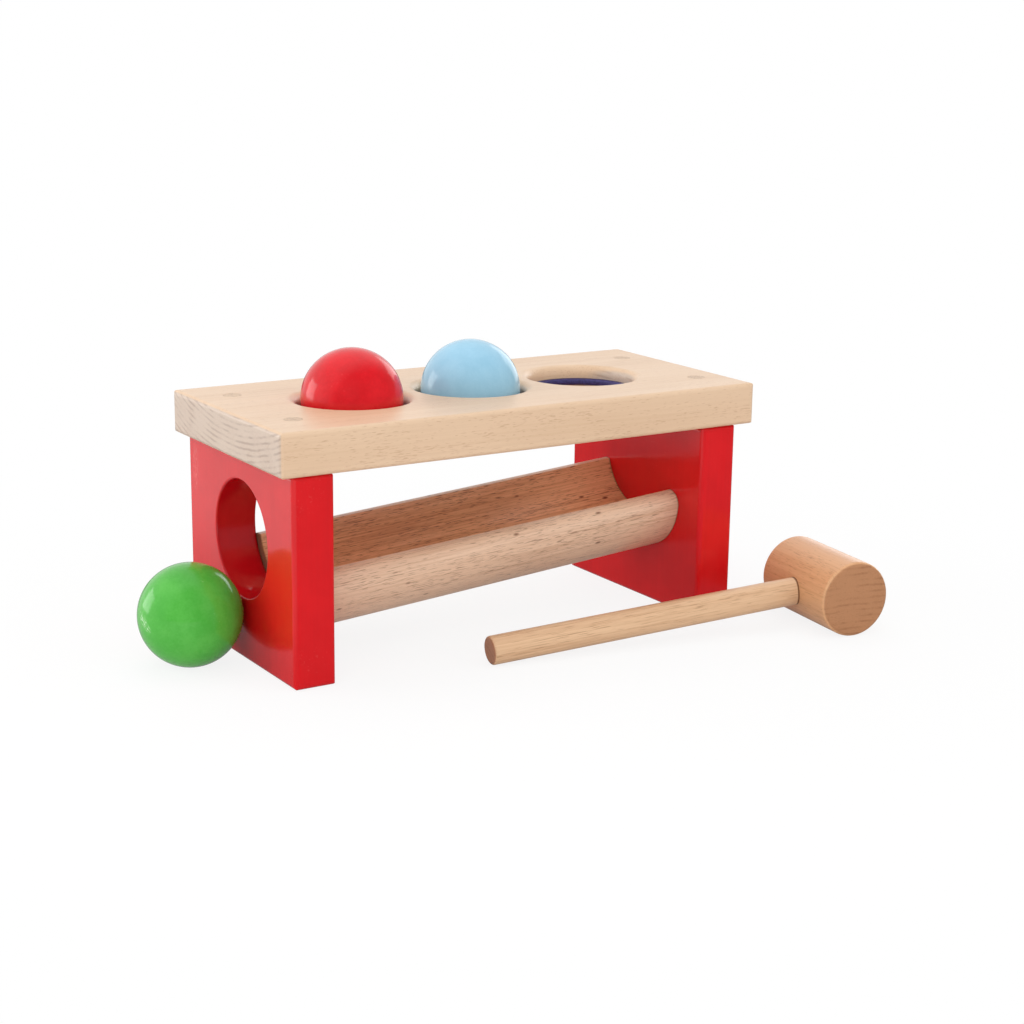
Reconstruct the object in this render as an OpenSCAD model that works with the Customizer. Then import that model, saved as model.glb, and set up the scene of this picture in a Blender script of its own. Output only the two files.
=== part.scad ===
// Ball pounding bench: balls are struck through rings in the board, fall on the chute and roll out.
// Lengths are in millimetres. X runs along the board, Y from its front to its back, Z up from the floor.

/* [Board] */
// Length of the board
board_l = 240; // [236:1:300]
// Depth of the board, front to back
board_w = 109; // [101:1:130]
// Thickness of the board
board_t = 19; // [17:0.5:26]
// Rounding of the board's edges
board_edge_r = 2; // [0.5:0.5:4]

/* [End panels] */
// Height of the end panels
panel_h = 90.5; // [89.5:0.5:110]
// Thickness of the end panels
panel_t = 19; // [17:0.5:24]
// Distance from the board's front and back faces to the panels
panel_recess = 2; // [0:0.5:8]
// Length of board past the left panel
left_overhang = 6; // [4:0.5:9]
// Length of board past the right panel
right_overhang = 8.5; // [4:0.5:11]
// Rounding of the panels' edges
panel_edge_r = 2; // [0.5:0.5:4]

/* [Balls and holes] */
// Diameter of the balls
ball_d = 45; // [42:0.5:46]
// Distance from the board's left end to the first hole's axis
first_hole = 60.5; // [57:0.5:65]
// Distance between the axes of neighbouring holes
hole_pitch = 60; // [58:0.5:62.5]
// Gap between a ball and the wall of its hole
hole_play = 2; // [1:0.25:2]
// Rounding of a hole's rim on both faces of the board
hole_lip_r = 4; // [0.5:0.25:4]
// How much higher the red ball stands in its ring than the light blue one
red_ball_lift = 0.8; // [0:0.1:3]
// Distance of the green ball on the floor behind the middle of the exit hole
green_ball_back = 2.7; // [-10:0.1:10]

/* [Elastic rings] */
// Depth of a ring's middle below the top of the board
ring_depth = 7.5; // [6.5:0.5:11]
// Thickness of a ring
ring_t = 3; // [2:0.25:4]
// How far a ring's inner edge stands inside the ball's outline
ring_bite = 0.5; // [0.25:0.25:1.5]
// Depth of the seat that holds a ring in the wall of its hole
ring_seat = 2; // [1:0.25:3]

/* [Exit hole and chute] */
// Distance of the exit hole in front of the board's middle
lane_shift = 1.5; // [0:0.25:2.5]
// Height of the exit hole's axis
exit_z = 53.5; // [50:0.5:55]
// Gap between a ball and the wall of the exit hole
exit_play = 3.25; // [2:0.25:4]
// Rounding of the exit hole's rims
exit_lip_r = 1; // [0.5:0.25:2]
// Distance of the chute in front of the exit hole's middle
chute_shift = 4; // [0:0.25:4.5]
// Slope of the chute in degrees
chute_slope = 4.4; // [3:0.1:5]
// Turn of the chute about its own length in degrees, back rim up
chute_roll = 6; // [0:0.5:7]
// Gap between a ball and the groove's wall, where the ball is level with the groove's axis
groove_play = 4.5; // [3:0.25:5]
// Height of the groove's floor over the exit hole's floor
groove_step = 1.1; // [0.3:0.1:3]
// Thickness of the chute under the groove
chute_floor = 15; // [13:0.5:17]
// Width of the chute
chute_w = 65.5; // [62:0.5:70]
// Distance of the chute's rims below the groove's axis
rim_drop = 10.5; // [9:0.5:12]
// Rounding of the chute's rims
rim_r = 6.5; // [1:0.5:7]
// Rounding of the chute's lower edges
chute_edge_r = 25; // [8:0.5:26]

/* [Dowels] */
// Diameter of the board's dowels
dowel_d = 8; // [6:0.5:9]
// Distance from the left end of the board to the axes of the left dowels
left_dowel_inset = 17.5; // [14:0.5:19]
// Distance from the right end of the board to the axes of the right dowels
right_dowel_inset = 15; // [14:0.5:21]
// Distance between the dowels of a pair
dowel_spread = 60; // [58:1:84]
// Depth of the board's dowels in the panels
dowel_depth = 22; // [12:1:24]
// Diameter of the chute's dowels
chute_dowel_d = 6; // [4:0.5:7]
// Wood left under a chute dowel
chute_dowel_wall = 3; // [2.5:0.25:5]
// Depth of a chute dowel in its panel
chute_dowel_in_panel = 12; // [8:0.5:14]
// Depth of a chute dowel in the chute
chute_dowel_in_chute = 16; // [10:0.5:20]

/* [Mallet] */
// Diameter of the head
head_d = 34.7; // [28:0.1:44]
// Length of the head
head_l = 52.2; // [40:0.2:70]
// Rounding of the head's ends
head_edge_r = 2; // [0.4:0.2:4]
// Diameter of the handle
handle_d = 12.8; // [10:0.2:18]
// Distance from the head's axis to the free end of the handle
handle_l = 170; // [120:0.5:200]
// How far the handle runs past the head's axis
handle_past_axis = 9; // [2:0.5:10]
// Rounding of the handle's free end
handle_edge_r = 1.2; // [0.4:0.2:3]
// Gap between the board's right end and the head, along the board
head_gap = 1.6; // [0.6:0.2:40]
// Gap between the board's front face and the handle's free end, seen from above
handle_gap = 1.5; // [0.5:0.1:60]
// Turn of the mallet on the floor in degrees, from lying along the board
mallet_turn = 7.4; // [0:0.1:20]

/* [Fits] */
// Gap all round a dowel, the handle or a ring in its seat
wood_fit = 0.1; // [0.05:0.05:0.2]
// Room past the end of a dowel or the handle in its bore
bore_room = 0.5; // [0.2:0.1:1]
// Gap between a ball and what it rests against
rest_gap = 0.3; // [0.2:0.05:0.5]

/* [Hidden] */
$fn = 96;

beech = [0.92, 0.84, 0.73];
end_grain = [0.84, 0.71, 0.56];
steamed_beech = [0.83, 0.66, 0.50];
red_lacquer = [0.82, 0.16, 0.16];
red_ball_paint = [0.86, 0.17, 0.19];
light_blue_paint = [0.64, 0.80, 0.88];
green_paint = [0.36, 0.74, 0.31];
blue_rubber = [0.17, 0.17, 0.36];

// Reach of a cutting shape past the face that it opens
cut = 1;
// Side of the board's middle on which a dowel stands
front = -1;
rear = 1;

top_z = panel_h + board_t;
panel_w = board_w - 2 * panel_recess;
left_in_x = left_overhang + panel_t;
right_in_x = board_l - right_overhang - panel_t;
inner_l = right_in_x - left_in_x;

ball_r = ball_d / 2;
bore_r = ball_r + hole_play;
hole_y = board_w / 2;
lane_y = hole_y - lane_shift;
chute_y = lane_y - chute_shift;
hole_x = [for (i = [0:2]) first_hole + i * hole_pitch];

ring_z = top_z - ring_depth;
ring_in_r = ball_r - ring_bite;
ring_mid_r = ring_in_r + ring_t / 2;
seated_ball_z = ring_z + sqrt(pow(ball_r + rest_gap + ring_t / 2, 2) - pow(ring_mid_r, 2));
green_ball_x = left_overhang - rest_gap - ball_r;
green_ball_y = lane_y + green_ball_back;

exit_r = ball_r + exit_play;
groove_r = ball_r + groove_play;
groove_left_z = exit_z - exit_r + groove_step + groove_r;
groove_right_z = groove_left_z + inner_l * tan(chute_slope);
chute_h = groove_r + chute_floor - rim_drop;
chute_dowel_drop = groove_r + chute_floor - chute_dowel_wall - chute_dowel_d / 2;

head_r = head_d / 2;
handle_r = handle_d / 2;
mallet_tilt = asin((head_r - handle_r) / handle_l);
head_flat_r = head_r - head_edge_r;
head_flat_l = head_l / 2 - head_edge_r;
head_reach_x = head_flat_l * sin(mallet_turn) + head_flat_r * cos(mallet_turn) + head_edge_r;
head_reach_y = head_flat_l * cos(mallet_turn) + head_flat_r * sin(mallet_turn) + head_edge_r;
handle_reach_y = handle_l * cos(mallet_tilt) * sin(mallet_turn) + handle_r * cos(mallet_turn);
mallet_x = board_l + head_gap + head_reach_x;
mallet_y = -handle_gap - handle_reach_y;

// The origin is on the floor, below the middle of the box round the bench, the balls and the mallet.
origin_x = (green_ball_x - ball_r + mallet_x + head_reach_x) / 2;
origin_y = (board_w + mallet_y - head_reach_y) / 2;

module from_origin() {
    translate([-origin_x, -origin_y, 0]) children();
}

module rounded_rectangle(w, h, r) {
    translate([r, 0]) square([w - 2 * r, h]);
    translate([0, r]) square([w, h - 2 * r]);
    for (x = [r, w - r], y = [r, h - r])
        translate([x, y]) circle(r);
}

// Block with its low corner at zero and all its edges rounded.
module rounded_block(size, r) {
    intersection() {
        linear_extrude(size.z) rounded_rectangle(size.x, size.y, r);
        translate([0, size.y, 0]) rotate([90, 0, 0])
            linear_extrude(size.y) rounded_rectangle(size.x, size.z, r);
        rotate([90, 0, 90]) linear_extrude(size.x) rounded_rectangle(size.y, size.z, r);
    }
}

// Rod along +Z from zero, with both ends rounded.
module rounded_rod(r, l, edge_r) {
    rotate_extrude() intersection() {
        translate([-r, 0]) rounded_rectangle(2 * r, l, edge_r);
        square([r, l]);
    }
}

// Cutting shape of a hole along +Z through a plate whose lower face is at zero, with both rims rounded.
module lipped_hole(r, plate_t, lip_r) {
    rotate_extrude() {
        translate([0, -cut]) square([r, plate_t + 2 * cut]);
        difference() {
            translate([0, -cut]) square([r + lip_r, lip_r + cut]);
            translate([r + lip_r, lip_r]) circle(lip_r);
        }
        difference() {
            translate([0, plate_t - lip_r]) square([r + lip_r, lip_r + cut]);
            translate([r + lip_r, plate_t - lip_r]) circle(lip_r);
        }
    }
}

// Round cutting shape along X between two points, for a dowel with its gap.
module x_bore(d, from_x, to_x) {
    translate([from_x, 0, 0]) rotate([0, 90, 0]) cylinder(d = d + 2 * wood_fit, h = to_x - from_x);
}

module dowel_axis(x, side) {
    translate([x, board_w / 2 + side * dowel_spread / 2, panel_h - dowel_depth]) children();
}

module board_dowel(x, side) {
    color(end_grain) from_origin() dowel_axis(x, side) cylinder(d = dowel_d, h = dowel_depth + board_t);
}

module dowel_left_front() {
    board_dowel(left_dowel_inset, front);
}

module dowel_left_rear() {
    board_dowel(left_dowel_inset, rear);
}

module dowel_right_front() {
    board_dowel(board_l - right_dowel_inset, front);
}

module dowel_right_rear() {
    board_dowel(board_l - right_dowel_inset, rear);
}

module board_dowel_bores() {
    for (x = [left_dowel_inset, board_l - right_dowel_inset], side = [front, rear])
        dowel_axis(x, side) translate([0, 0, -bore_room])
            cylinder(d = dowel_d + 2 * wood_fit, h = bore_room + dowel_depth + board_t + cut);
}

// Places a shape on the axis of a chute dowel, at a panel's inner face.
module chute_dowel_axis(face_x, groove_z) {
    side_step = chute_dowel_drop * sin(chute_roll);
    drop = chute_dowel_drop * cos(chute_roll);
    translate([face_x, chute_y + side_step, groove_z - drop]) children();
}

module top_board() {
    color(beech) from_origin() difference() {
        translate([0, 0, panel_h]) rounded_block([board_l, board_w, board_t], board_edge_r);
        for (x = hole_x) translate([x, hole_y, 0]) {
            translate([0, 0, panel_h]) lipped_hole(bore_r, board_t, hole_lip_r);
            translate([0, 0, ring_z - ring_t / 2 - wood_fit])
                cylinder(r = bore_r + ring_seat, h = ring_t + 2 * wood_fit);
        }
        board_dowel_bores();
    }
}

module panel_blank(x) {
    translate([x, panel_recess, 0]) rounded_block([panel_t, panel_w, panel_h], panel_edge_r);
}

module left_end_panel() {
    color(red_lacquer) from_origin() difference() {
        panel_blank(left_overhang);
        translate([left_overhang, lane_y, exit_z]) rotate([0, 90, 0])
            lipped_hole(exit_r, panel_t, exit_lip_r);
        board_dowel_bores();
        chute_dowel_axis(left_in_x, groove_left_z)
            x_bore(chute_dowel_d, -chute_dowel_in_panel - bore_room, cut);
    }
}

module right_end_panel() {
    color(red_lacquer) from_origin() difference() {
        panel_blank(right_in_x);
        board_dowel_bores();
        chute_dowel_axis(right_in_x, groove_right_z)
            x_bore(chute_dowel_d, -cut, chute_dowel_in_panel + bore_room);
    }
}

// Cross-section of the chute, with the groove's axis at zero.
module chute_section() {
    bottom = -groove_r - chute_floor;
    difference() {
        translate([-chute_w / 2, bottom]) intersection() {
            rounded_rectangle(chute_w, chute_h + chute_edge_r + rim_r, chute_edge_r);
            translate([0, -chute_h]) rounded_rectangle(chute_w, 2 * chute_h, rim_r);
        }
        circle(groove_r);
    }
}

module chute() {
    color(steamed_beech) from_origin() difference() {
        intersection() {
            translate([left_in_x, 0, 0]) cube([inner_l, board_w, panel_h]);
            translate([left_in_x, chute_y, groove_left_z]) rotate([0, -chute_slope, 0])
                rotate([chute_roll, 0, 0]) rotate([90, 0, 90]) translate([0, 0, -panel_t])
                linear_extrude(inner_l + 2 * panel_t) chute_section();
        }
        chute_dowel_axis(left_in_x, groove_left_z)
            x_bore(chute_dowel_d, -cut, chute_dowel_in_chute + bore_room);
        chute_dowel_axis(right_in_x, groove_right_z)
            x_bore(chute_dowel_d, -chute_dowel_in_chute - bore_room, cut);
    }
}

module chute_dowel(face_x, groove_z, from_x) {
    color(end_grain) from_origin() chute_dowel_axis(face_x, groove_z) translate([from_x, 0, 0])
        rotate([0, 90, 0]) cylinder(d = chute_dowel_d, h = chute_dowel_in_panel + chute_dowel_in_chute);
}

module chute_dowel_left() {
    chute_dowel(left_in_x, groove_left_z, -chute_dowel_in_panel);
}

module chute_dowel_right() {
    chute_dowel(right_in_x, groove_right_z, -chute_dowel_in_chute);
}

module elastic_ring(x) {
    color(blue_rubber) from_origin() translate([x, hole_y, ring_z]) rotate_extrude() {
        translate([ring_mid_r, 0]) circle(ring_t / 2);
        translate([ring_mid_r, -ring_t / 2]) square([bore_r + ring_seat - wood_fit - ring_mid_r, ring_t]);
    }
}

module ring_left() {
    elastic_ring(hole_x[0]);
}

module ring_middle() {
    elastic_ring(hole_x[1]);
}

module ring_right() {
    elastic_ring(hole_x[2]);
}

module ball(place, paint) {
    color(paint) from_origin() translate(place) sphere(ball_r);
}

module red_ball() {
    ball([hole_x[0], hole_y, seated_ball_z + red_ball_lift], red_ball_paint);
}

module light_blue_ball() {
    ball([hole_x[1], hole_y, seated_ball_z], light_blue_paint);
}

module green_ball() {
    ball([green_ball_x, green_ball_y, ball_r], green_paint);
}

// Places a shape drawn about the middle of the head, with the head along Y and the handle along -X.
module mallet_place() {
    from_origin() translate([mallet_x, mallet_y, head_r]) rotate([0, 0, -mallet_turn])
        rotate([0, -mallet_tilt, 0]) children();
}

module mallet_head() {
    color(steamed_beech) mallet_place() difference() {
        translate([0, head_l / 2, 0]) rotate([90, 0, 0]) rounded_rod(head_r, head_l, head_edge_r);
        x_bore(handle_d, -head_r - cut, handle_past_axis + bore_room);
    }
}

module mallet_handle() {
    color(beech) mallet_place() translate([handle_past_axis, 0, 0]) rotate([0, -90, 0])
        rounded_rod(handle_r, handle_past_axis + handle_l, handle_edge_r);
}

top_board();
left_end_panel();
right_end_panel();
chute();
dowel_left_front();
dowel_left_rear();
dowel_right_front();
dowel_right_rear();
chute_dowel_left();
chute_dowel_right();
ring_left();
ring_middle();
ring_right();
red_ball();
light_blue_ball();
green_ball();
mallet_head();
mallet_handle();
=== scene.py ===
import math

import bpy
from mathutils import Euler, Matrix, Vector


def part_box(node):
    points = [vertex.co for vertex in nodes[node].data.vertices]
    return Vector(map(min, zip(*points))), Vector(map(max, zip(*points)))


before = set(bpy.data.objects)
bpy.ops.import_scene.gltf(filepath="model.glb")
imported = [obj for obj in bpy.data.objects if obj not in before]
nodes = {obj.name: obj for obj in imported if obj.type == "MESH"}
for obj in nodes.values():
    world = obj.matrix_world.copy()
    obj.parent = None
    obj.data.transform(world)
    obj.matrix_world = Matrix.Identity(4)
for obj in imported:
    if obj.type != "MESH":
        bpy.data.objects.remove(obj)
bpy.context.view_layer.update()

# Camera: place in metres, angles in degrees, lens in millimetres on a 36 mm sensor
CAMERA_PLACE = (-0.45345, -0.72304, 0.27174)
CAMERA_YAW = -32.314
CAMERA_PITCH = 14.108
CAMERA_ROLL = 0.788
CAMERA_LENS = 69.52

# Directions of the sloping and lying pieces, in degrees, as the solids have them
CHUTE_SLOPE = 4.4
CHUTE_ROLL = 6.0
MALLET_TURN = 7.4
MALLET_TILT = 3.69

# Groove and exit bore: a point on the axis in metres and the radius in millimetres
GROOVE_PLACE = (-0.09648, 0.02329, 0.05585)
GROOVE_RADIUS = 27.0
EXIT_PLACE = (-0.106, 0.02729, 0.0535)
EXIT_RADIUS = 25.75

# Distance from the axis of the mallet's head, in millimetres, within which the handle is in its socket
SOCKET_RADIUS = 17.6

# Painted shade in these places, as factors on the linear colour: in the groove painted shade with painted
# bounce light, on the exit bore's wall painted shade, and at the handle's socket a painted shadow. A power
# also makes the groove darker and redder, as painted bounce light, and its grain stronger.
GROOVE_SHADE_TINT = (1.26, 1.30, 1.33, 1)
GROOVE_BOUNCE_POWER = 1.9
EXIT_SHADE_TINT = (0.76, 0.95, 0.95, 1)
SOCKET_SHADOW_TINT = (0.3, 0.2, 0.15, 1)

# Millimetres beyond a painted shade's radius at which it begins and at which it is full
SHADE_EDGE = (0.7, 0.2)

# Axes of the growth rings, in metres from the middle of the board, the chute and, twice, the mallet's head
BOARD_PITH = Vector((0, -0.006, 0.14))
CHUTE_PITH = Vector((0, 0.03, -0.05))
HEAD_PITH = Vector((0, 0, -0.16))
HANDLE_PITH = Vector((0, 0.01, -0.02))

# Density of the wood's marks along the grain and in both directions across it, per millimetre
CLOUD_DENSITY = (0.008, 0.06, 0.06)
STREAK_DENSITY = (0.02, 1.3, 1.3)
RING_DENSITY = (0.02, 1, 1)
FADING_DENSITY = (0.01, 0.09, 0.2)
CROWD_DENSITY = (0.02, 0.15, 0.15)
KNOT_DENSITY = (0.09, 0.2, 0.2)

# Part of the face's normal along the grain at which end grain begins and at which it is full
END_GRAIN = (0.6, 0.9)

# Share of the places that have no pin knot
KNOT_FREE = 0.8

# Painted shadow line where the chute meets the panels: width in metres and share of the fleck's colour
JOINT_SHADOW_WIDTH = 0.0009
JOINT_SHADOW_SHARE = 0.85

# Scuffs: density of the strokes per millimetre, and length, width and depth of a patch in millimetres
SCUFF_DENSITY = (0.35, 1.8, 1.8)
PANEL_SCUFF_SIZE = (26, 8, 10)
BALL_SCUFF_SIZE = (13, 5, 12)

# Share of the rubbed colour in the strokes of a scuff
PANEL_SCUFF_SHARE = 0.45
BALL_SCUFF_SHARE = 1.0

# Scuff on the left panel: distance from the rear edge and height above the floor, in metres
PANEL_SCUFF_INSET = 0.007
PANEL_SCUFF_HEIGHT = 0.076

# Scuff on the green ball: the side it is on, and the way its strokes run
BALL_SCUFF_SIDE = Vector((-0.988, -0.150, 0.031))
BALL_SCUFF_RUN = Vector((0.592, -0.549, -0.589))

# Half the floor's length, in metres
FLOOR_REACH = 6.0

# Floor's white: distances from the middle, in metres, between which it rises, and its shares there
FLOOR_WHITE = (0.16, 0.42, 0.86, 1.0)

# White that gloss sees in the floor: places along X between which it rises, and its shares there
FLOOR_GLOSS = (-0.10, -0.22, 0.0, 0.9)

# Far side of the backdrop, and the parts of a direction along it between which gloss sees it whiten
FAR_SIDE = (-0.25, 0.95, 0.2)
FAR_RANGE = (-0.25, 0.35)

# Strength of the dim room in gloss, and of the backdrop's light on surfaces
ROOM_TONE = 0.28
WORLD_LIGHT = 0.55

# Point that the lamps face
LAMP_TARGET = Vector((0, 0, 0.06))

# Density of the marks in paint and rubber, per millimetre
PATCH_DENSITY = 0.04
SPECK_DENSITY = 0.9
SKIN_DENSITY = 0.09
RUBBER_DENSITY = 1.4

# Least and greatest roughness
WOOD_ROUGHNESS = (0.27, 0.38)
PAINT_ROUGHNESS = (0.10, 0.16)
RUBBER_ROUGHNESS = (0.45, 0.6)

LACQUER_IOR = 1.45

# Millimetre in metres
MM = 0.001

# Depth of the relief, in metres
WOOD_RELIEF = 0.1 * MM
PAINT_RELIEF = 0.25 * MM
RUBBER_RELIEF = 0.1 * MM


def srgb(red, green, blue):
    """Linear colour of an sRGB colour that is given in steps of 255."""
    def linear(value):
        share = value / 255
        return share / 12.92 if share <= 0.04045 else ((share + 0.055) / 1.055) ** 2.4
    return (linear(red), linear(green), linear(blue), 1.0)


def rotation(x, y, z):
    """Turn by Euler angles in degrees."""
    return Euler([math.radians(angle) for angle in (x, y, z)], "XYZ").to_matrix()


def lying(normal, along):
    """Turn of a patch on a surface: X runs along, Z stands on the surface."""
    across = normal.cross(along).normalized()
    return Matrix((across.cross(normal).normalized(), across, normal.normalized())).transposed()


# Shader building

def add(tree, kind, inputs=None, **settings):
    """New node with its settings, and its inputs as values or links."""
    node = tree.nodes.new(kind)
    for name, value in settings.items():
        setattr(node, name, value)
    for key, value in (inputs or {}).items():
        if isinstance(value, bpy.types.NodeSocket):
            tree.links.new(value, node.inputs[key])
        else:
            node.inputs[key].default_value = value
    return node


def calc(tree, operation, *values):
    return add(tree, "ShaderNodeMath", dict(enumerate(values)), operation=operation).outputs[0]


def swing(tree, value, share):
    """Departure of a noise from its middle, times a share."""
    return calc(tree, "MULTIPLY", calc(tree, "SUBTRACT", value, 0.5), share)


def length(tree, vector):
    return add(tree, "ShaderNodeVectorMath", {0: vector}, operation="LENGTH").outputs["Value"]


def remap(tree, value, low, high, to_low=0.0, to_high=1.0):
    """Smooth step of a value between two limits."""
    inputs = {"Value": value, "From Min": low, "From Max": high, "To Min": to_low, "To Max": to_high}
    return add(tree, "ShaderNodeMapRange", inputs, interpolation_type="SMOOTHSTEP").outputs["Result"]


def stretch(tree, vector, factors):
    node = add(tree, "ShaderNodeVectorMath", {0: vector, 1: factors}, operation="MULTIPLY")
    return node.outputs["Vector"]


def noise(tree, vector, scale, detail=2.0, roughness=0.5):
    inputs = {"Vector": vector, "Scale": scale, "Detail": detail, "Roughness": roughness}
    return add(tree, "ShaderNodeTexNoise", inputs).outputs["Fac"]


def mix(tree, factor, first, second, blend="MIX"):
    """Mix of two colours: the node's colour sockets are inputs 6 and 7 and output 2."""
    inputs = {0: factor, 6: first, 7: second}
    return add(tree, "ShaderNodeMix", inputs, data_type="RGBA", blend_type=blend).outputs[2]


def bump(tree, height, strength, distance):
    inputs = {"Height": height, "Strength": strength, "Distance": distance}
    return add(tree, "ShaderNodeBump", inputs).outputs["Normal"]


def new_material(name):
    """Material with a Principled shader: returns it with its tree and the shader."""
    material = bpy.data.materials.new(name)
    material.use_nodes = True
    tree = material.node_tree
    return material, tree, tree.nodes["Principled BSDF"]


def place_space(tree, place=(0, 0, 0), turn=None):
    """Object coordinates in millimetres from a place, along the axes of a turn."""
    coordinates = add(tree, "ShaderNodeTexCoord").outputs["Object"]
    angles = turn.to_euler("XYZ") if turn else Euler((0, 0, 0))
    inputs = {"Vector": coordinates, "Location": place, "Rotation": angles, "Scale": (MM, MM, MM)}
    return add(tree, "ShaderNodeMapping", inputs, vector_type="TEXTURE").outputs["Vector"]


def end_grain_share(tree, turn):
    """1 on faces across the grain, 0 on faces along it."""
    along = (turn if turn else Matrix.Identity(3)) @ Vector((1, 0, 0))
    normal = add(tree, "ShaderNodeNewGeometry").outputs["True Normal"]
    dot = add(tree, "ShaderNodeVectorMath", {0: normal, 1: along}, operation="DOT_PRODUCT")
    return remap(tree, calc(tree, "ABSOLUTE", dot.outputs["Value"]), *END_GRAIN)


def paint_shade_inside(tree, colour, place, turn, radius, tint, contrast=1.0):
    """Colour with painted shade inside a cylinder around the turned X: a groove, a bore or a socket."""
    depth = length(tree, stretch(tree, place_space(tree, place, turn), (0, 1, 1)))
    strong = add(tree, "ShaderNodeGamma", {"Color": colour, "Gamma": contrast}).outputs["Color"]
    inside = remap(tree, depth, *[radius + edge for edge in SHADE_EDGE])
    return mix(tree, inside, colour, mix(tree, 1.0, strong, tint, "MULTIPLY"))


def pin_knots(tree, space, share):
    """Share of the knots' colour: small dots in some of the cells."""
    cells = add(tree, "ShaderNodeTexVoronoi", {"Vector": stretch(tree, space, KNOT_DENSITY), "Scale": 1.0})
    chance = add(tree, "ShaderNodeSeparateColor", {0: cells.outputs["Color"]}).outputs["Red"]
    core = remap(tree, cells.outputs["Distance"], 0.2, 0.05, 0.0, share)
    return calc(tree, "MULTIPLY", core, calc(tree, "GREATER_THAN", chance, KNOT_FREE))


def beech(name, pale, dark, fleck, pith, turn=None, ring_gap=3.0, ring_share=0.1, streak_share=0.4,
          end_tones=None, end_ring_share=0.5, fleck_share=0.5, fleck_size=(3.2, 0.34), fleck_limit=0.62,
          knot_share=0.0, painted_shade=None, joint_shadow=None):
    """Lacquered beech. The pith is a point on the axis of the growth rings, which runs along the turned X."""
    material, tree, shader = new_material(name)
    space = place_space(tree, pith, turn)
    end = end_grain_share(tree, turn)
    clouds = noise(tree, stretch(tree, space, CLOUD_DENSITY), 1.0, 2.0)
    streaks = noise(tree, stretch(tree, space, STREAK_DENSITY), 1.0, 4.0, 0.62)
    ring_inputs = {"Vector": stretch(tree, space, RING_DENSITY), "Scale": math.tau / 20 / ring_gap,
                   "Distortion": 3.2, "Detail": 4.0, "Detail Scale": 0.3, "Detail Roughness": 0.7}
    waves = add(tree, "ShaderNodeTexWave", ring_inputs, wave_type="RINGS", rings_direction="X",
                wave_profile="SIN").outputs["Fac"]
    fading = noise(tree, stretch(tree, space, FADING_DENSITY), 1.0, 2.0)
    rings = calc(tree, "MULTIPLY", remap(tree, waves, 0.4, 1.0), remap(tree, fading, 0.35, 0.65, 0.1, 1.0))

    fleck_l, fleck_w = fleck_size
    marks = noise(tree, stretch(tree, space, (1 / fleck_l, 1 / fleck_w, 1 / fleck_w)), 1.0, 1.0, 0.4)
    crowd = noise(tree, stretch(tree, space, CROWD_DENSITY), 1.0, 2.0)
    limit = remap(tree, crowd, 0.3, 0.7, fleck_limit + 0.05, fleck_limit - 0.05)
    mark = remap(tree, calc(tree, "SUBTRACT", marks, limit), 0.0, 0.12, 0.0, fleck_share)

    tone = calc(tree, "MULTIPLY", rings, remap(tree, end, 0, 1, ring_share, end_ring_share))
    tone = calc(tree, "ADD", tone, swing(tree, clouds, 0.8))
    tone = calc(tree, "ADD", tone, swing(tree, streaks, streak_share))
    colour = mix(tree, remap(tree, tone, -0.35, 0.65), pale, dark)
    if end_tones:
        colour = mix(tree, end, colour, mix(tree, remap(tree, tone, -0.1, 0.9), *end_tones))
    colour = mix(tree, mark, colour, fleck)
    if knot_share:
        colour = mix(tree, pin_knots(tree, space, knot_share), colour, fleck)
    # Painted shade in the chute's groove and at the handle's socket
    if painted_shade:
        colour = paint_shade_inside(tree, colour, *painted_shade)
    # Painted shadow lines at the chute's ends, where it meets the panels
    if joint_shadow:
        place = add(tree, "ShaderNodeTexCoord").outputs["Object"]
        along = add(tree, "ShaderNodeSeparateXYZ", {0: place}).outputs["X"]
        for end_x, inner_x in joint_shadow:
            colour = mix(tree, remap(tree, along, inner_x, end_x, 0.0, JOINT_SHADOW_SHARE), colour, fleck)
    tree.links.new(colour, shader.inputs["Base Color"])
    tree.links.new(remap(tree, streaks, 0.25, 0.75, *WOOD_ROUGHNESS), shader.inputs["Roughness"])
    shader.inputs["IOR"].default_value = LACQUER_IOR
    relief = calc(tree, "SUBTRACT", calc(tree, "MULTIPLY", streaks, 0.5), mark)
    tree.links.new(bump(tree, relief, 0.15, WOOD_RELIEF), shader.inputs["Normal"])
    return material


def scuffed(tree, colour, rub, place, turn, size, share):
    """Colour with a patch of broken strokes along the turned X. The size is in millimetres."""
    space = place_space(tree, place, turn)
    away = length(tree, stretch(tree, space, [2 / side for side in size]))
    strokes = noise(tree, stretch(tree, space, SCUFF_DENSITY), 1.0, 2.0, 0.6)
    patch = calc(tree, "MULTIPLY", remap(tree, away, 1.0, 0.4), remap(tree, strokes, 0.46, 0.6, 0.0, share))
    return mix(tree, patch, colour, rub)


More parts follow.
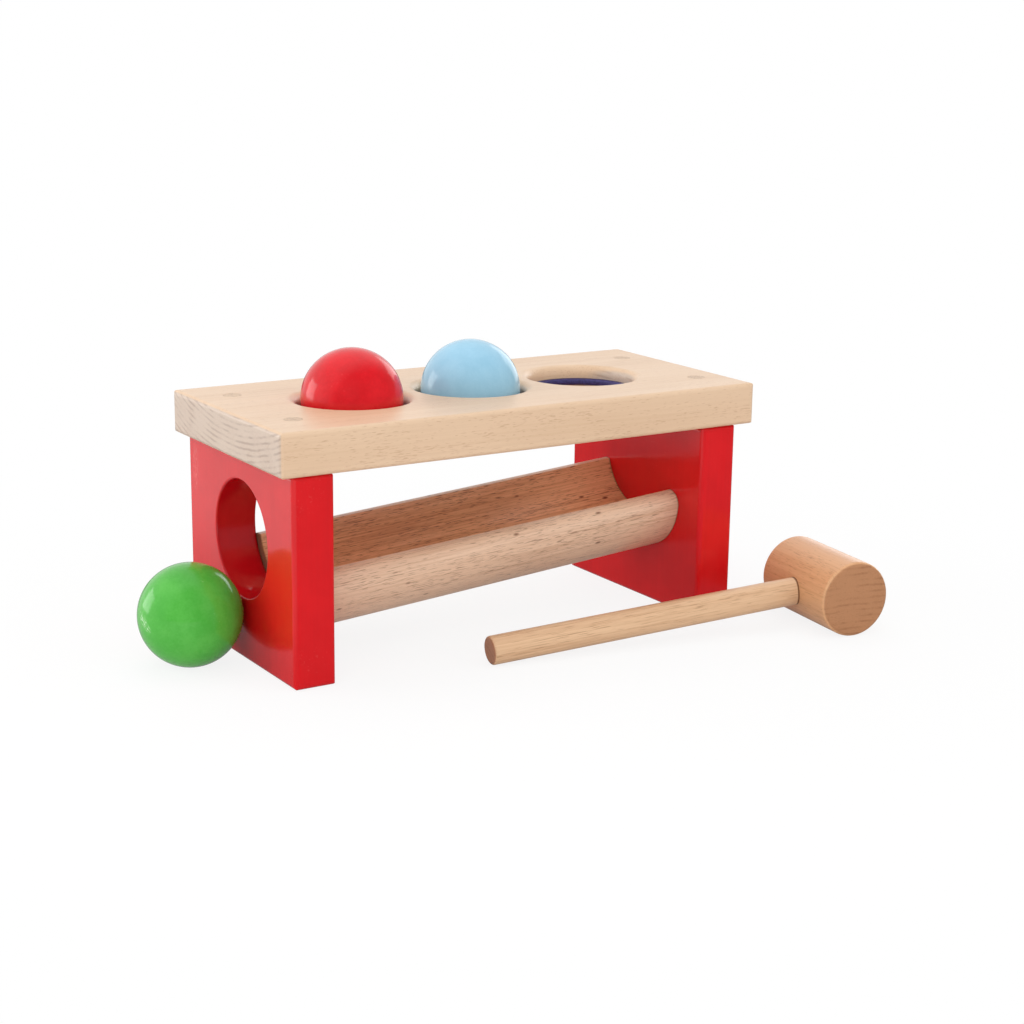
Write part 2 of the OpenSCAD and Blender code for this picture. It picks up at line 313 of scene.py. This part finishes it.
def lacquer(name, colour, shade, rub, spot_size=12.0, grain=(1, 1, 1), rub_share=0.3, painted_shade=None, scuff=None):
    """Gloss paint on wood: soft clouding, a faint grain below it, a slightly wavy skin and rubbed specks."""
    material, tree, shader = new_material(name)
    space = place_space(tree)
    clouds = noise(tree, space, 1 / spot_size, 3.0, 0.6)
    fibres = noise(tree, stretch(tree, space, grain), 1.0, 3.0, 0.55)
    tone = calc(tree, "ADD", calc(tree, "MULTIPLY", clouds, 0.75), calc(tree, "MULTIPLY", fibres, 0.25))
    colour = mix(tree, remap(tree, tone, 0.35, 0.65), colour, shade)
    patches = remap(tree, noise(tree, space, PATCH_DENSITY, 1.0), 0.60, 0.72)
    specks = remap(tree, noise(tree, space, SPECK_DENSITY, 2.0, 0.6), 0.60, 0.72, 0.0, rub_share)
    rubbed = calc(tree, "MULTIPLY", patches, specks)
    colour = mix(tree, rubbed, colour, rub)
    if scuff:
        colour = scuffed(tree, colour, rub, *scuff)
    # Painted shade on the wall of the exit bore
    if painted_shade:
        colour = paint_shade_inside(tree, colour, *painted_shade)
    tree.links.new(colour, shader.inputs["Base Color"])
    gloss = remap(tree, fibres, 0.3, 0.7, *PAINT_ROUGHNESS)
    tree.links.new(calc(tree, "ADD", gloss, calc(tree, "MULTIPLY", rubbed, 0.5)), shader.inputs["Roughness"])
    skin = noise(tree, space, SKIN_DENSITY, 2.0)
    height = calc(tree, "ADD", skin, calc(tree, "MULTIPLY", fibres, 0.04))
    tree.links.new(bump(tree, height, 0.3, PAINT_RELIEF), shader.inputs["Normal"])
    shader.inputs["IOR"].default_value = LACQUER_IOR
    return material


def rubber(name, colour, shade):
    """Dull rubber with a fine grain."""
    material, tree, shader = new_material(name)
    space = place_space(tree)
    grain = noise(tree, space, RUBBER_DENSITY, 3.0, 0.6)
    tree.links.new(mix(tree, remap(tree, grain, 0.35, 0.65), colour, shade), shader.inputs["Base Color"])
    tree.links.new(remap(tree, grain, 0.3, 0.7, *RUBBER_ROUGHNESS), shader.inputs["Roughness"])
    tree.links.new(bump(tree, grain, 0.2, RUBBER_RELIEF), shader.inputs["Normal"])
    return material


def dress(material, *names):
    for name in names:
        slots = nodes[name].data.materials
        slots.clear()
        slots.append(material)


# Pieces
board_low, board_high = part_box("top_board")
board_middle = (board_low + board_high) / 2
chute_low, chute_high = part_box("chute")
chute_middle = (chute_low + chute_high) / 2
head_low, head_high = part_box("mallet_head")
head_middle = (head_low + head_high) / 2
chute_turn = rotation(CHUTE_ROLL, -CHUTE_SLOPE, 0)
handle_turn = rotation(0, -MALLET_TILT, -MALLET_TURN)
head_turn = handle_turn @ rotation(0, 0, 90)

# Painted shadow lines at both ends of the chute: full at each end, fading out inward over the width
chute_joint_shadows = ((chute_low.x, chute_low.x + JOINT_SHADOW_WIDTH), (chute_high.x, chute_high.x - JOINT_SHADOW_WIDTH))

dress(beech("board_wood", srgb(228, 197, 166), srgb(210, 175, 141), srgb(168, 118, 84),
            board_middle + BOARD_PITH, ring_gap=2.5, fleck_share=0.35, fleck_limit=0.61,
            end_ring_share=0.65, end_tones=(srgb(204, 184, 167), srgb(174, 151, 136))), "top_board")
# The chute's groove gets painted shade and painted bounce light, darker and redder; its ends get painted
# shadow lines
dress(beech("chute_wood", srgb(234, 200, 172), srgb(206, 166, 136), srgb(116, 70, 46),
            chute_middle + CHUTE_PITH, chute_turn, ring_gap=4.5, streak_share=1.5,
            fleck_share=0.52, fleck_size=(5.0, 0.3), fleck_limit=0.58, knot_share=0.8,
            painted_shade=(GROOVE_PLACE, chute_turn, GROOVE_RADIUS, GROOVE_SHADE_TINT, GROOVE_BOUNCE_POWER),
            joint_shadow=chute_joint_shadows), "chute")
dress(beech("mallet_head_wood", srgb(228, 176, 131), srgb(204, 149, 105), srgb(142, 92, 58),
            head_middle + HEAD_PITH, head_turn, ring_gap=2.8, ring_share=0.2, streak_share=0.8,
            end_ring_share=0.45, end_tones=(srgb(183, 130, 91), srgb(154, 103, 68)),
            fleck_size=(4.0, 0.32), fleck_share=0.45, fleck_limit=0.6), "mallet_head")
# The handle gets a painted shadow around it where it enters the mallet's head
dress(beech("mallet_handle_wood", srgb(228, 190, 152), srgb(200, 156, 118), srgb(150, 102, 68),
            head_middle + HANDLE_PITH, handle_turn, ring_gap=2.6, ring_share=0.25,
            streak_share=1.5, fleck_size=(9.0, 0.3), fleck_limit=0.6, end_ring_share=0.3,
            end_tones=(srgb(178, 126, 96), srgb(148, 98, 72)),
            painted_shade=(head_middle, head_turn, SOCKET_RADIUS, SOCKET_SHADOW_TINT)), "mallet_handle")
dress(beech("dowel_wood", srgb(212, 180, 146), srgb(174, 138, 106), srgb(110, 74, 50),
            board_middle, rotation(0, 90, 0), ring_gap=3.5, end_ring_share=0.3, streak_share=1.2,
            fleck_share=0.7, fleck_size=(3.2, 0.8), fleck_limit=0.6),
      *[name for name in nodes if "dowel" in name])

panel_low, panel_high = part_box("left_end_panel")
panel_scuff_place = Vector((panel_low.x, panel_high.y - PANEL_SCUFF_INSET, PANEL_SCUFF_HEIGHT))
panel_scuff = (panel_scuff_place, rotation(0, 90, 0), PANEL_SCUFF_SIZE, PANEL_SCUFF_SHARE)
# Painted shade on the wall of the left panel's exit bore
exit_bore_shade = (EXIT_PLACE, None, EXIT_RADIUS, EXIT_SHADE_TINT)
panel_reds = (srgb(216, 18, 26), srgb(206, 14, 22), srgb(236, 110, 106))
panel_look = {"spot_size": 30.0, "grain": (0.5, 0.5, 0.02), "rub_share": 0.12}
dress(lacquer("left_panel_lacquer", *panel_reds, **panel_look, painted_shade=exit_bore_shade, scuff=panel_scuff),
      "left_end_panel")
dress(lacquer("right_panel_lacquer", *panel_reds, **panel_look), "right_end_panel")

green_low, green_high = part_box("green_ball")
green_middle = (green_low + green_high) / 2
green_scuff_place = green_middle + (green_high.z - green_middle.z) * BALL_SCUFF_SIDE
green_scuff_turn = lying(BALL_SCUFF_SIDE, BALL_SCUFF_RUN)
green_scuff = (green_scuff_place, green_scuff_turn, BALL_SCUFF_SIZE, BALL_SCUFF_SHARE)
dress(lacquer("red_ball_paint", srgb(222, 20, 32), srgb(208, 14, 26), srgb(238, 100, 100),
              spot_size=9.0, rub_share=0.12), "red_ball")
dress(lacquer("light_blue_ball_paint", srgb(148, 196, 221), srgb(156, 202, 226), srgb(206, 228, 238),
              spot_size=9.0, rub_share=0.15), "light_blue_ball")
dress(lacquer("green_ball_paint", srgb(72, 172, 58), srgb(88, 184, 72), srgb(196, 236, 186),
              spot_size=14.0, rub_share=0.2, scuff=green_scuff), "green_ball")
dress(rubber("ring_rubber", srgb(62, 55, 116), srgb(42, 35, 80)),
      *[name for name in nodes if "ring_" in name])


# Floor, world and lights

def shown(tree, gloss_share):
    """White to the viewer and through clear pieces, and in gloss by a share. Gives that and what is gloss."""
    path = add(tree, "ShaderNodeLightPath")
    seen = calc(tree, "MAXIMUM", path.outputs["Is Camera Ray"], path.outputs["Is Transmission Ray"])
    gloss = calc(tree, "MULTIPLY", path.outputs["Is Glossy Ray"], gloss_share)
    return calc(tree, "MAXIMUM", seen, gloss), path.outputs["Is Glossy Ray"]


def make_floor():
    """Pale floor that keeps the shadow near the object and runs into the white of the backdrop."""
    mesh = bpy.data.meshes.new("floor")
    sides = ((-1, -1), (1, -1), (1, 1), (-1, 1))
    corners = [(x * FLOOR_REACH, y * FLOOR_REACH, 0) for x, y in sides]
    mesh.from_pydata(corners, [], [(0, 1, 2, 3)])
    floor = bpy.data.objects.new("floor", mesh)
    bpy.context.scene.collection.objects.link(floor)
    material, tree, shader = new_material("floor_white")
    shader.inputs["Base Color"].default_value = (0.9, 0.9, 0.9, 1)
    shader.inputs["Roughness"].default_value = 0.9
    shader.inputs["Specular IOR Level"].default_value = 0.0
    place = add(tree, "ShaderNodeTexCoord").outputs["Object"]
    along = add(tree, "ShaderNodeSeparateXYZ", {0: place}).outputs["X"]
    seen, glossy = shown(tree, remap(tree, along, *FLOOR_GLOSS))
    share = calc(tree, "MULTIPLY", seen, remap(tree, length(tree, place), *FLOOR_WHITE))
    glow = add(tree, "ShaderNodeEmission", {"Color": (1, 1, 1, 1), "Strength": 1.0}).outputs[0]
    room = add(tree, "ShaderNodeEmission", {"Color": (1, 1, 1, 1), "Strength": ROOM_TONE}).outputs[0]
    base = add(tree, "ShaderNodeMixShader", {0: glossy, 1: shader.outputs[0], 2: room}).outputs[0]
    mixed = add(tree, "ShaderNodeMixShader", {0: share, 1: base, 2: glow}).outputs[0]
    tree.links.new(mixed, tree.nodes["Material Output"].inputs["Surface"])
    mesh.materials.append(material)


def make_world():
    """White backdrop. Gloss shows it on the far side and the dim room on the near side."""
    world = bpy.data.worlds.new("studio")
    bpy.context.scene.world = world
    world.use_nodes = True
    tree = world.node_tree
    background = tree.nodes["Background"]
    background.inputs["Color"].default_value = (1, 1, 1, 1)
    heading = add(tree, "ShaderNodeTexCoord").outputs["Generated"]
    far = add(tree, "ShaderNodeVectorMath", {0: heading, 1: FAR_SIDE}, operation="DOT_PRODUCT")
    gloss_share = remap(tree, far.outputs["Value"], *FAR_RANGE, ROOM_TONE, 1.0)
    seen, glossy = shown(tree, gloss_share)
    plain = calc(tree, "MULTIPLY", calc(tree, "SUBTRACT", 1.0, glossy), WORLD_LIGHT)
    tree.links.new(calc(tree, "MAXIMUM", seen, plain), background.inputs["Strength"])


def softbox(name, place, size, power, diffuse=True):
    """Soft lamp that lights surfaces, or one that only shows as a highlight in gloss."""
    light = bpy.data.lights.new(name, "AREA")
    light.shape = "SQUARE"
    light.size = size
    light.energy = power
    lamp = bpy.data.objects.new(name, light)
    lamp.location = place
    lamp.rotation_euler = (LAMP_TARGET - Vector(place)).to_track_quat("-Z", "Y").to_euler()
    lamp.visible_glossy = not diffuse
    lamp.visible_diffuse = diffuse
    bpy.context.scene.collection.objects.link(lamp)


def make_camera():
    data = bpy.data.cameras.new("camera")
    data.lens = CAMERA_LENS
    data.clip_start = 0.01
    camera = bpy.data.objects.new("camera", data)
    bpy.context.scene.collection.objects.link(camera)
    turn = (Matrix.Rotation(math.radians(CAMERA_YAW), 4, "Z")
            @ Matrix.Rotation(math.radians(90 - CAMERA_PITCH), 4, "X")
            @ Matrix.Rotation(math.radians(CAMERA_ROLL), 4, "Z"))
    camera.matrix_world = Matrix.Translation(CAMERA_PLACE) @ turn
    bpy.context.scene.camera = camera


make_floor()
make_world()
# Lamps: place and size in metres, power in watts
softbox("key_light", (-1.0, -1.3, 1.15), 1.6, 11.5)
softbox("fill_light", (1.0, -1.4, 0.8), 1.6, 7)
softbox("top_light", (0.1, 0.3, 2.0), 1.8, 14)
softbox("back_left_light", (-1.6, 1.0, 0.7), 1.4, 14)
softbox("left_highlight", (-1.16, 1.17, 0.3), 0.8, 4.8, diffuse=False)
softbox("right_highlight", (1.38, 0.69, 0.43), 0.9, 3.2, diffuse=False)
make_camera()
bpy.context.scene.view_settings.view_transform = "Standard"
